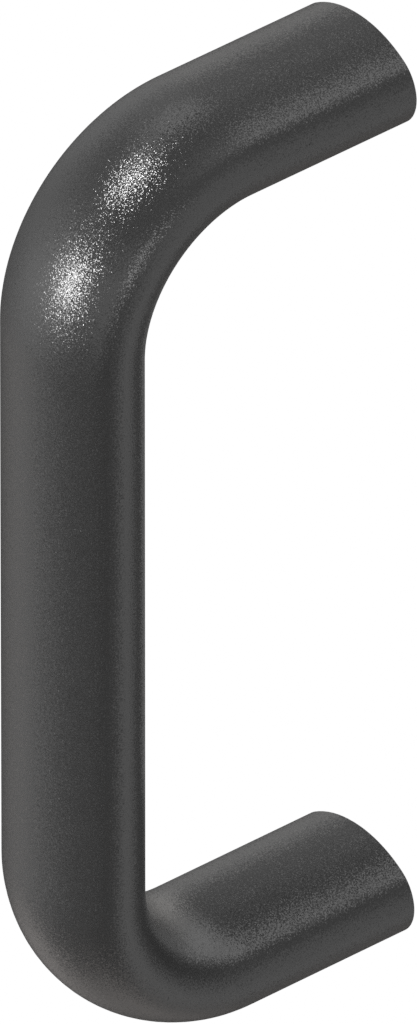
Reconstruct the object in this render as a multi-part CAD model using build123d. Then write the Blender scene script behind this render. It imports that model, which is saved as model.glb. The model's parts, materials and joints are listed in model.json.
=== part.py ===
from build123d import *

import os
from math import atan2, degrees, radians, tan

# Bow handle: one bar of oval section bent into a U, with a blind tapped hole in the end of each leg.
# The feet stand on the plane Y = 0 and face +Y, the bow stands out towards -Y, and the grip runs along Z.
# The origin is on the mounting plane, midway between the two holes. Units are millimetres.

# The bow
hole_spacing = 112.0  # from one tapped hole to the other, centre to centre
projection = 49.0  # from the mounting plane to the front of the grip
bend_inner_radius = 13.0  # inside of each bend

# The oval section of the bar, drawn with four tangent arcs
bar_width = 20.0  # across the bow
bar_thickness = 13.0  # in the plane of the bow
side_radius = 5.0  # of the two narrow sides; the arcs of the two broad ones follow from it
foot_edge_break = 0.15  # deburred rim of each sawn foot

# The blind tapped hole in each foot, for a metric coarse thread
thread_diameter = 6.0
thread_pitch = 1.0
drill_depth = 16.0  # at full diameter, without the drill's point
drill_point_angle = 118.0
mouth_clearance = 0.3  # how much wider than the thread its countersink is
mouth_angle = 120.0

# What follows from them
half_width = bar_width / 2
half_thickness = bar_thickness / 2
half_spacing = hole_spacing / 2
grip_reach = projection - half_thickness  # from the mounting plane to the grip's centre line
bend_radius = bend_inner_radius + half_thickness  # of the centre line
tap_drill_radius = (thread_diameter - thread_pitch) / 2


def oval_section():
    """The bar's section, its width along X and its thickness along Y."""
    side_centre = half_width - side_radius
    broad_radius = (half_width**2 + half_thickness**2 - bar_width * side_radius) / (
        bar_thickness - 2 * side_radius
    )
    broad_centre = broad_radius - half_thickness
    side_half_angle = degrees(atan2(broad_centre, side_centre))
    side_sweep = 2 * side_half_angle
    broad_sweep = 180 - side_sweep
    outline = Curve() + [
        CenterArc((side_centre, 0), side_radius, -side_half_angle, side_sweep),
        CenterArc((0, -broad_centre), broad_radius, side_half_angle, broad_sweep),
        CenterArc((-side_centre, 0), side_radius, 180 - side_half_angle, side_sweep),
        CenterArc((0, broad_centre), broad_radius, 180 + side_half_angle, broad_sweep),
    ]
    return make_face(outline)


def bent_bar():
    """The oval bar, bent from one foot round to the other."""
    path = FilletPolyline(
        (0, 0, -half_spacing),
        (0, -grip_reach, -half_spacing),
        (0, -grip_reach, half_spacing),
        (0, 0, half_spacing),
        radius=bend_radius,
    )
    foot_plane = Plane(origin=path @ 0, x_dir=(1, 0, 0), z_dir=path % 0)
    return sweep(foot_plane * oval_section(), path=path)


def break_foot_edges(bar):
    """The bar with the rim of both feet deburred."""
    feet = bar.faces().filter_by(Axis.Y).group_by(Axis.Y)[-1]
    return chamfer(feet.edges(), foot_edge_break)


def tapped_hole():
    """What the drill and the countersink take out: the mouth at the origin, the point towards -Z."""
    mouth_radius = (thread_diameter + mouth_clearance) / 2
    mouth_depth = (mouth_radius - tap_drill_radius) / tan(radians(mouth_angle / 2))
    point_depth = tap_drill_radius / tan(radians(drill_point_angle / 2))
    half_profile = Polyline(
        (0, 0),
        (mouth_radius, 0),
        (tap_drill_radius, -mouth_depth),
        (tap_drill_radius, -drill_depth),
        (0, -drill_depth - point_depth),
        close=True,
    )
    return revolve(Plane.XZ * make_face(half_profile), Axis.Z)


def bow_handle():
    """The finished handle: bent, deburred, drilled and tapped."""
    handle = break_foot_edges(bent_bar())
    for height in (-half_spacing, half_spacing):
        handle -= Plane((0, 0, height), x_dir=(1, 0, 0), z_dir=(0, 1, 0)) * tapped_hole()
    return handle


os.makedirs("parts", exist_ok=True)
export_step(bow_handle(), "parts/bow_handle.step")
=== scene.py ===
import json
import math

import bmesh
import bpy
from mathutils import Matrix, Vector


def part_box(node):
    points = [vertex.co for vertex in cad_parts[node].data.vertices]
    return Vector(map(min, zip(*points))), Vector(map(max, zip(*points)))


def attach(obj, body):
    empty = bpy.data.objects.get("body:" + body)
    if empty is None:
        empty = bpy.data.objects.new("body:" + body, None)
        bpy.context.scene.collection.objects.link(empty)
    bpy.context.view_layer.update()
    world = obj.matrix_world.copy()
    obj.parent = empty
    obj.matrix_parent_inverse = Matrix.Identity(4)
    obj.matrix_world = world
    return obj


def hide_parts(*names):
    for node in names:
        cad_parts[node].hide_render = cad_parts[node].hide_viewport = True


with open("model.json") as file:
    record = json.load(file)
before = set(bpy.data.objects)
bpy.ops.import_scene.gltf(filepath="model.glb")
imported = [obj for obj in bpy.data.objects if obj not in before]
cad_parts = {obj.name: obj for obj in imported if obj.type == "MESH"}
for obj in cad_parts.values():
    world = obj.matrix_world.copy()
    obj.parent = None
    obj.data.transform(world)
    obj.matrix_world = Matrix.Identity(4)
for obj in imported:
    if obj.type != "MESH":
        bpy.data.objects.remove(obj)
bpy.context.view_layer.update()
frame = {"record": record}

# Bow handle in a textured black powder coat, in a white studio. All lengths are in metres.

MM = 0.001

# Sizes that the frame gives
low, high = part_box("bow_handle")
mounts = {mount["name"]: mount for mount in frame["record"]["mounts"]}
hole_spacing = mounts["fixing_holes"]["dims"]["spacing_y_mm"] * MM
core_radius = mounts["fixing_holes"]["dims"]["hole_r_mm"] * MM
half_spacing = hole_spacing / 2
half_width = (high.x - low.x) / 2
half_thickness = (high.z - low.z - hole_spacing) / 2
grip_reach = high.y - low.y - half_thickness  # from the mounting plane to the grip's centre line

# The bar, as in the solid
side_radius = 5 * MM  # of the two narrow sides of the oval section
bend_inner_radius = 13 * MM
bend_radius = bend_inner_radius + half_thickness  # of the centre line
foot_edge_break = 0.15 * MM

# The tapped hole in each foot; its thread is only here
thread_pitch = 1 * MM
thread_depth = 0.54 * thread_pitch
crest_share = 0.25  # of the pitch, flat
root_share = 0.125  # of the pitch, flat
thread_length = 12 * MM
thread_runout = 1.5 * thread_pitch  # the end of that length, where the thread fades out
hole_depth = 16 * MM
mouth_radius = 3.15 * MM
mouth_angle = 120
drill_point_angle = 118
mouth_slope = math.tan(math.radians(mouth_angle / 2))
mouth_depth = (mouth_radius - core_radius) / mouth_slope
point_depth = core_radius / math.tan(math.radians(drill_point_angle / 2))

# Fineness of the mesh
side_steps = 26
broad_steps = 18
ring_step = 0.8 * MM
rows_per_turn = 12

# The mesh's two materials
COAT = 0
METAL = 1

# The camera, on the photograph's line of sight; its long lens all but gives a parallel projection
view_azimuth = 50.17
view_elevation = 34.75
view_target = Vector((-0.00068, -0.0219, 0.00336))
view_distance = 5.654
view_limit = 3 * view_distance  # how far the camera sees
lens_mm = 700
frame_height_mm = 14.4

# The noise textures have values round a middle, most of them in this range;
# the detail of a noise, below, is how many finer layers it has
NOISE_MIDDLE = 0.5
NOISE_RANGE = (0.3, 0.7)

# The coat: round grains, each of which tilts the surface its own way, over a faint mottle
grain_size = 0.165 * MM
grain_detail = 0
grain_tilt = 0.48
grain_tilt_rise = 0.5  # the strongest grains tilt it more than in proportion
mottle_size = 3 * MM
mottle_detail = 4
coat_greys = (0.0185, 0.0215)
coat_roughness = (0.16, 0.19)

# The bare metal in the holes, with the fine marks of drill and tap
tool_mark_size = 0.05 * MM
tool_mark_detail = 2
tool_mark_depth = 0.004 * MM
metal_colour = (0.75, 0.76, 0.77)
metal_roughness = (0.22, 0.42)

# The studio
floor_level = -0.30
floor_reach = 6.0
ambient = 0.03

# Colours of light: white and two that are faintly warm
WHITE = (1, 1, 1)
CREAM = (1.03, 1, 0.965)
WARM = (1.07, 1, 0.96)

# Feathered lights, far off: what each is, its azimuth, elevation and half-width in degrees, and then
# its radiance and colour
SOFT_LIGHTS = (
    # The two keys, which make the highlights on the upper bend, and a halo for each
    ("top key", -20, 63, 3, 100, WHITE),
    ("top key's halo", -45, 65, 6, 4, WHITE),
    ("front key", -9, 11, 3.5, 50, WHITE),
    ("front key's halo", -10, 10, 8, 13, WHITE),
    # Soft light from the front
    ("front left", -35, 0, 24, 1.75, WHITE),
    ("front right", 40, 5, 20, 1.3, WHITE),
    # From the right
    ("right", 70, 10, 5, 7, WHITE),
    ("right from above", 105, 60, 15, 1, WHITE),
    ("right from below", 120, -40, 17, 0.9, WHITE),
    # From the left
    ("left", -105, 20, 20, 0.8, WHITE),
    ("left from above", -115, 60, 10, 2.5, WHITE),
    ("left from below", -70, -50, 12, 0.5, WARM),
    ("far left from below", -100, -50, 8, 0.25, WARM),
    # From behind
    ("behind", -175, 25, 15, 1.9, WHITE),
    ("behind on the left", -140, 0, 12, 0.7, CREAM),
    ("behind on the right", 110, 0, 20, 1.2, WHITE),
    ("behind from above", 155, 45, 10, 2.6, WHITE),
    ("behind from below", -165, -30, 10, 0.35, WHITE),
    # From below
    ("below", 80, -85, 20, 0.7, WARM),
)


def section():
    """The oval outline as (across, outward) pairs: two side arcs and two broad ones, all tangent."""
    side_centre = half_width - side_radius
    broad_radius = (half_width**2 + half_thickness**2 - 2 * half_width * side_radius) / (
        2 * (half_thickness - side_radius)
    )
    broad_centre = broad_radius - half_thickness
    turn = math.atan2(broad_centre, side_centre)
    arcs = (
        (side_centre, 0, side_radius, -turn, 2 * turn, side_steps),
        (0, -broad_centre, broad_radius, turn, math.pi - 2 * turn, broad_steps),
        (-side_centre, 0, side_radius, math.pi - turn, 2 * turn, side_steps),
        (0, broad_centre, broad_radius, math.pi + turn, math.pi - 2 * turn, broad_steps),
    )
    points = []
    for x, y, radius, start, sweep, steps in arcs:
        for step in range(steps):
            angle = start + sweep * step / steps
            points.append((x + radius * math.cos(angle), y + radius * math.sin(angle)))
    return points


def evenly(start, end, step):
    """Places from start to end, both included, about a step apart."""
    count = math.ceil(abs(end - start) / step)
    return [start + (end - start) * k / count for k in range(count + 1)]


def stations():
    """Where the section stands from the lower foot to the upper one: (centre, outward direction)."""
    leg_end = grip_reach - bend_radius
    bend_height = half_spacing - bend_radius
    lower = []
    for y in evenly(foot_edge_break, leg_end, ring_step)[:-1]:
        lower.append((Vector((0, -y, -half_spacing)), Vector((0, 0, -1))))
    for angle in evenly(0, math.pi / 2, ring_step / bend_radius):
        outward = Vector((0, -math.sin(angle), -math.cos(angle)))
        lower.append((Vector((0, -leg_end, -bend_height)) + bend_radius * outward, outward))
    for z in evenly(bend_height, 0, ring_step)[1:-1]:
        lower.append((Vector((0, -grip_reach, -z)), Vector((0, -1, 0))))
    flip = Vector((1, 1, -1))
    upper = [(centre * flip, outward * flip) for centre, outward in reversed(lower)]
    return lower + upper


def thread_radius(depth, angle):
    """How far the hole's wall is from its axis, at this depth below the foot and angle round the axis."""
    cone = max(mouth_radius - depth * mouth_slope, core_radius)
    phase = (depth / thread_pitch - angle / math.tau) % 1
    tooth = abs(2 * phase - 1)
    flank = (tooth - crest_share) / (1 - crest_share - root_share)
    cut = min(max(flank, 0), 1)
    cut *= min(max((thread_length - depth) / thread_runout, 0), 1)
    return max(cone, core_radius + thread_depth * cut)


def hole_depths():
    """Depths of the rings in a hole: the mouth's two edges, the thread's rows and end, the bottom."""
    row = thread_pitch / rows_per_turn
    rows = int((thread_length - mouth_depth) / row)
    thread = [mouth_depth + row * k for k in range(1, rows + 1)]
    return [0, mouth_depth] + thread + [thread_length, hole_depth]


def foot_bands(outline, axis, side):
    """The bands from a foot's rim down its hole, each as (its inner ring's points, material, smooth)."""
    shrink = 1 - foot_edge_break / half_thickness
    foot = [axis + Vector((x * shrink, 0, side * y * shrink)) for x, y in outline]
    bands = [(foot, COAT, False)]
    angles = [math.atan2(side * y, x) for x, y in outline]
    for depth in hole_depths():
        wall = []
        for angle in angles:
            outward = Vector((math.cos(angle), 0, math.sin(angle)))
            wall.append(axis + outward * thread_radius(depth, angle) - Vector((0, depth, 0)))
        material = METAL if depth > 0 else COAT
        bands.append((wall, material, depth > mouth_depth))
    return bands


def add_ring(mesh, points):
    """New corners of the mesh at these points."""
    return [mesh.verts.new(point) for point in points]


def bridge(mesh, first, second, material, smooth):
    """The faces between two rings."""
    for k in range(len(first)):
        face = mesh.faces.new((first[k], first[k - 1], second[k - 1], second[k]))
        face.material_index = material
        face.smooth = smooth


def handle_mesh():
    """The coated bar and the two tapped holes as one closed mesh."""
    mesh = bmesh.new()
    outline = section()
    bar = []
    for centre, outward in stations():
        bar.append(add_ring(mesh, [centre + Vector((x, 0, 0)) + outward * y for x, y in outline]))
    for first, second in zip(bar, bar[1:]):
        bridge(mesh, first, second, COAT, True)
    for rim, side in ((bar[0], -1), (bar[-1], 1)):
        axis = Vector((0, 0, side * half_spacing))
        last = rim
        for points, material, smooth in foot_bands(outline, axis, side):
            ring = add_ring(mesh, points)
            # Swapped at the lower foot, so that all faces turn the same way
            first, second = (last, ring)[::side]
            bridge(mesh, first, second, material, smooth)
            last = ring
        tip = mesh.verts.new(axis - Vector((0, hole_depth + point_depth, 0)))
        for k in range(len(last)):
            first, second = (last[k], last[k - 1])[::side]
            mesh.faces.new((first, second, tip)).material_index = METAL
    bmesh.ops.recalc_face_normals(mesh, faces=mesh.faces)
    for edge in mesh.edges:
        edge.smooth = all(face.smooth for face in edge.link_faces)
    data = bpy.data.meshes.new("bow_handle_coated")
    mesh.to_mesh(data)
    mesh.free()
    return data


def new_material(name):
    """A material with a bare Principled shader: (material, nodes, links, shader)."""
    material = bpy.data.materials.new(name)
    material.use_nodes = True
    tree = material.node_tree
    return material, tree.nodes, tree.links, tree.nodes["Principled BSDF"]


def number_node(nodes, operation):
    """A math node for numbers."""
    node = nodes.new("ShaderNodeMath")
    node.operation = operation
    return node


def vector_node(nodes, operation):
    """A math node for vectors."""
    node = nodes.new("ShaderNodeVectorMath")
    node.operation = operation
    return node


def noise(nodes, links, size, detail):
    """A noise texture in the handle's own frame, with features of about this size."""
    place = nodes.new("ShaderNodeTexCoord")
    texture = nodes.new("ShaderNodeTexNoise")
    texture.inputs["Scale"].default_value = 1 / size
    texture.inputs["Detail"].default_value = detail
    links.new(place.outputs["Object"], texture.inputs["Vector"])
    return texture


def spread(nodes, links, value, limits):
    """The noise value, brought from its own range to these limits."""
    node = nodes.new("ShaderNodeMapRange")
    node.inputs["From Min"].default_value = NOISE_RANGE[0]
    node.inputs["From Max"].default_value = NOISE_RANGE[1]
    node.inputs["To Min"].default_value = limits[0]
    node.inputs["To Max"].default_value = limits[1]
    links.new(value, node.inputs["Value"])
    return node.outputs["Result"]


def grain_normal(nodes, links):
    """The surface normal plus each grain's lean * (tilt + rise * length of lean), made a unit vector."""
    grain = noise(nodes, links, grain_size, grain_detail)
    surface = nodes.new("ShaderNodeNewGeometry")
    lean = vector_node(nodes, "SUBTRACT")
    lean.inputs[1].default_value = [NOISE_MIDDLE] * 3
    strength = vector_node(nodes, "LENGTH")
    gain = number_node(nodes, "MULTIPLY_ADD")
    gain.inputs[1].default_value = grain_tilt_rise
    gain.inputs[2].default_value = grain_tilt
    tilt = vector_node(nodes, "SCALE")
    tilted = vector_node(nodes, "ADD")
    unit = vector_node(nodes, "NORMALIZE")
    links.new(grain.outputs["Color"], lean.inputs[0])
    links.new(lean.outputs["Vector"], strength.inputs[0])
    links.new(strength.outputs["Value"], gain.inputs[0])
    links.new(lean.outputs["Vector"], tilt.inputs[0])
    links.new(gain.outputs["Value"], tilt.inputs["Scale"])
    links.new(tilt.outputs["Vector"], tilted.inputs[0])
    links.new(surface.outputs["Normal"], tilted.inputs[1])
    links.new(tilted.outputs["Vector"], unit.inputs[0])
    return unit.outputs["Vector"]


def powder_coat():
    """Black powder coat, slightly mottled: its fine grain breaks the highlights into sparkles."""
    material, nodes, links, shader = new_material("powder_coat_black")
    links.new(grain_normal(nodes, links), shader.inputs["Normal"])
    mottle = noise(nodes, links, mottle_size, mottle_detail).outputs["Fac"]
    shade = nodes.new("ShaderNodeValToRGB")
    for element, grey in zip(shade.color_ramp.elements, coat_greys):
        element.color = (grey, grey, grey, 1)
    links.new(mottle, shade.inputs["Fac"])
    links.new(shade.outputs["Color"], shader.inputs["Base Color"])
    links.new(spread(nodes, links, mottle, coat_roughness), shader.inputs["Roughness"])
    return material


def bare_aluminium():
    """The freshly cut metal of the holes, with fine tool marks."""
    material, nodes, links, shader = new_material("aluminium_cut")
    shader.inputs["Base Color"].default_value = (*metal_colour, 1)
    shader.inputs["Metallic"].default_value = 1
    marks = noise(nodes, links, tool_mark_size, tool_mark_detail).outputs["Fac"]
    bump = nodes.new("ShaderNodeBump")
    bump.inputs["Distance"].default_value = tool_mark_depth
    links.new(marks, bump.inputs["Height"])
    links.new(bump.outputs["Normal"], shader.inputs["Normal"])
    links.new(spread(nodes, links, marks, metal_roughness), shader.inputs["Roughness"])
    return material


def make_handle():
    """The handle, in the place of its solid."""
    handle = bpy.data.objects.new("bow_handle_coated", handle_mesh())
    bpy.context.scene.collection.objects.link(handle)
    handle.data.materials.append(powder_coat())
    handle.data.materials.append(bare_aluminium())
    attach(handle, "root")
    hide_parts("bow_handle")


def direction(azimuth, elevation):
    """Unit vector from the handle: azimuth 0 is in front of the grip, 90 on its +X side."""
    a = math.radians(azimuth)
    e = math.radians(elevation)
    return Vector((math.sin(a) * math.cos(e), -math.cos(a) * math.cos(e), math.sin(e)))


def make_camera():
    """The camera that gives the photograph's view."""
    camera = bpy.data.cameras.new("camera")
    camera.lens = lens_mm
    camera.sensor_fit = "VERTICAL"
    camera.sensor_height = frame_height_mm
    camera.clip_end = view_limit
    holder = bpy.data.objects.new("camera", camera)
    bpy.context.scene.collection.objects.link(holder)
    back = direction(view_azimuth, view_elevation)
    holder.location = view_target + view_distance * back
    holder.rotation_mode = "QUATERNION"
    holder.rotation_quaternion = (-back).to_track_quat("-Z", "Y")
    bpy.context.scene.camera = holder


def make_floor():
    """A white floor that only the camera sees: light from below is among the soft lights."""
    corners = []
    for x, y in ((-1, -1), (1, -1), (1, 1), (-1, 1)):
        corners.append((x * floor_reach, y * floor_reach, floor_level))
    data = bpy.data.meshes.new("floor")
    data.from_pydata(corners, [], [(0, 1, 2, 3)])
    floor = bpy.data.objects.new("floor", data)
    bpy.context.scene.collection.objects.link(floor)
    material = bpy.data.materials.new("white_floor")
    material.use_nodes = True
    nodes = material.node_tree.nodes
    nodes.clear()
    glow = nodes.new("ShaderNodeEmission")
    output = nodes.new("ShaderNodeOutputMaterial")
    material.node_tree.links.new(glow.outputs["Emission"], output.inputs["Surface"])
    floor.data.materials.append(material)
    floor.visible_diffuse = False
    floor.visible_glossy = False
    floor.visible_shadow = False


def soft_light_sum(nodes, links):
    """The ambient light and all the soft lights, summed for the direction that is looked in."""
    place = nodes.new("ShaderNodeTexCoord")
    total = None
    for name, azimuth, elevation, half_width_angle, radiance, colour in SOFT_LIGHTS:
        sharpness = 1 / math.radians(half_width_angle) ** 2
        toward = vector_node(nodes, "DOT_PRODUCT")
        toward.label = name
        toward.inputs[1].default_value = direction(azimuth, elevation)
        falloff = number_node(nodes, "MULTIPLY_ADD")
        falloff.inputs[1].default_value = sharpness
        falloff.inputs[2].default_value = -sharpness
        feather = number_node(nodes, "EXPONENT")
        glow = vector_node(nodes, "MULTIPLY_ADD")
        glow.inputs[1].default_value = [radiance * share for share in colour]
        glow.inputs[2].default_value = [ambient] * 3
        links.new(place.outputs["Generated"], toward.inputs[0])
        links.new(toward.outputs["Value"], falloff.inputs[0])
        links.new(falloff.outputs["Value"], feather.inputs[0])
        links.new(feather.outputs["Value"], glow.inputs[0])
        if total:
            links.new(total, glow.inputs[2])
        total = glow.outputs["Vector"]
    return total


def make_studio():
    """A backdrop that is white to the camera and holds the soft lights for the handle."""
    world = bpy.data.worlds.new("studio")
    bpy.context.scene.world = world
    world.use_nodes = True
    nodes = world.node_tree.nodes
    links = world.node_tree.links
    nodes.clear()
    path = nodes.new("ShaderNodeLightPath")
    light = nodes.new("ShaderNodeBackground")
    backdrop = nodes.new("ShaderNodeBackground")
    backdrop.inputs["Color"].default_value = (*WHITE, 1)
    choice = nodes.new("ShaderNodeMixShader")
    output = nodes.new("ShaderNodeOutputWorld")
    links.new(soft_light_sum(nodes, links), light.inputs["Color"])
    links.new(path.outputs["Is Camera Ray"], choice.inputs["Fac"])
    links.new(light.outputs["Background"], choice.inputs[1])
    links.new(backdrop.outputs["Background"], choice.inputs[2])
    links.new(choice.outputs["Shader"], output.inputs["Surface"])


make_handle()
make_camera()
make_floor()
make_studio()
bpy.context.scene.view_settings.view_transform = "Standard"
bpy.context.scene.cycles.use_denoising = False
